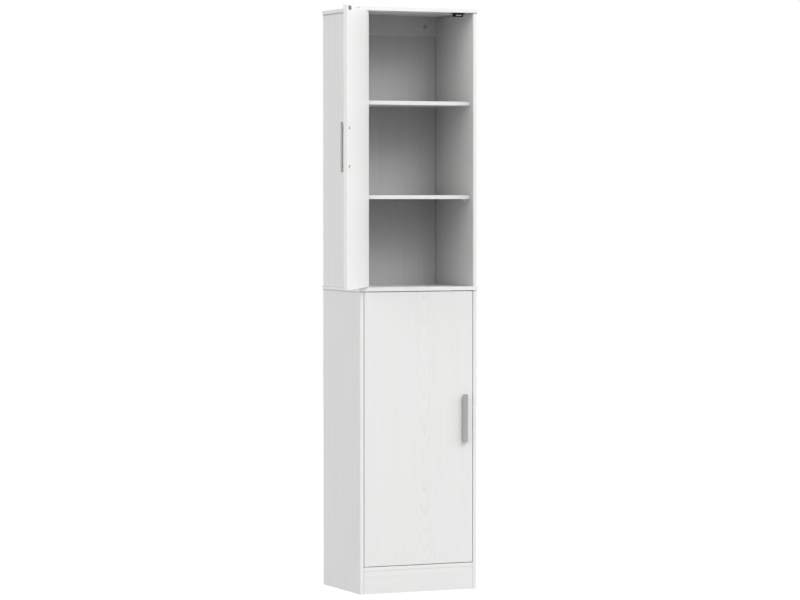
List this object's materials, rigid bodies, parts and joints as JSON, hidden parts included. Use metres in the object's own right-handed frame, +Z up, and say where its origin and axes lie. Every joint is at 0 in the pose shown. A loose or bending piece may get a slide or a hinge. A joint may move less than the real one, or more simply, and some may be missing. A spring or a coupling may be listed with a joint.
{
  "type": "tall cabinet",
  "caption": "Tall narrow free-standing cabinet in white wood-grain board, with an upper and a lower shelved compartment behind inset doors on pivot pins, bar pulls and magnetic catches.",
  "frame": {"origin": "middle of the front bottom edge: on the floor, on the middle plane and on the front plane of the doors and side panels", "axes": "+Z up, +Y from the front to the back, +X to the viewer's right when facing the doors"},
  "size_m": [0.5825, 0.5995, 1.832],
  "materials": {
    "white_board": "white foil on 12 mm board, fine embossed upright wood grain, satin",
    "white_hardboard": "white coated 3 mm hardboard, satin",
    "pull_metal": "grey nickel plate, satin",
    "zinc_steel": "bright zinc plate",
    "cam_zinc": "raw die-cast zinc",
    "plate_steel": "nickel-plated steel strip",
    "black_plastic": "moulded, matt",
    "magnet_nickel": "nickel-plated magnet",
    "dark_steel": "dark oxidised steel plate",
    "beech": "plain beech",
    "cap_plastic": "white, satin",
    "nylon": "natural white nylon"
  },
  "bodies": {
    "carcass": {"bottom_panel": "white_board", "cam_bolts": "zinc_steel", "cam_locks": "cam_zinc", "carcass_screws": "zinc_steel", "catch_magnets": "magnet_nickel", "catch_pole_plates": "plate_steel", "catch_screws": "zinc_steel", "lower_back_panel": "white_hardboard", "lower_catch_housing": "black_plastic", "lower_shelf_high": "white_board", "lower_shelf_low": "white_board", "lower_side_left": "white_board", "lower_side_right": "white_board", "mid_panel": "white_board", "pivot_bushes": "nylon", "plinth": "white_board", "rail_cam_bolts": "zinc_steel", "shelf_pegs": "zinc_steel", "top_panel": "white_board", "top_screw_caps": "cap_plastic", "upper_back_panel": "white_hardboard", "upper_back_rail": "white_board", "upper_catch_housing": "black_plastic", "upper_shelf_high": "white_board", "upper_shelf_low": "white_board", "upper_side_left": "white_board", "upper_side_right": "white_board", "wooden_dowels": "beech"},
    "upper_leaf": {"upper_door": "white_board", "upper_door_pull": "pull_metal", "upper_pull_screws": "zinc_steel", "upper_pivot_pins": "zinc_steel", "upper_strike_plate": "dark_steel", "upper_strike_screw": "zinc_steel"},
    "lower_leaf": {"lower_door": "white_board", "lower_door_pull": "pull_metal", "lower_pull_screws": "zinc_steel", "lower_pivot_pins": "zinc_steel", "lower_strike_plate": "dark_steel", "lower_strike_screw": "zinc_steel"}
  },
  "joints": [
    {"name": "upper_door_hinge", "type": "hinge", "parent": "carcass", "child": "upper_leaf", "pos_m": [-0.176, 0.006, 0.96], "axis": [0, 0, -1], "range_deg": [-123.3, 2.7]},
    {"name": "lower_door_hinge", "type": "hinge", "parent": "carcass", "child": "lower_leaf", "pos_m": [-0.176, 0.006, 0.086], "axis": [0, 0, -1], "range_deg": [0, 126]}
  ]
}
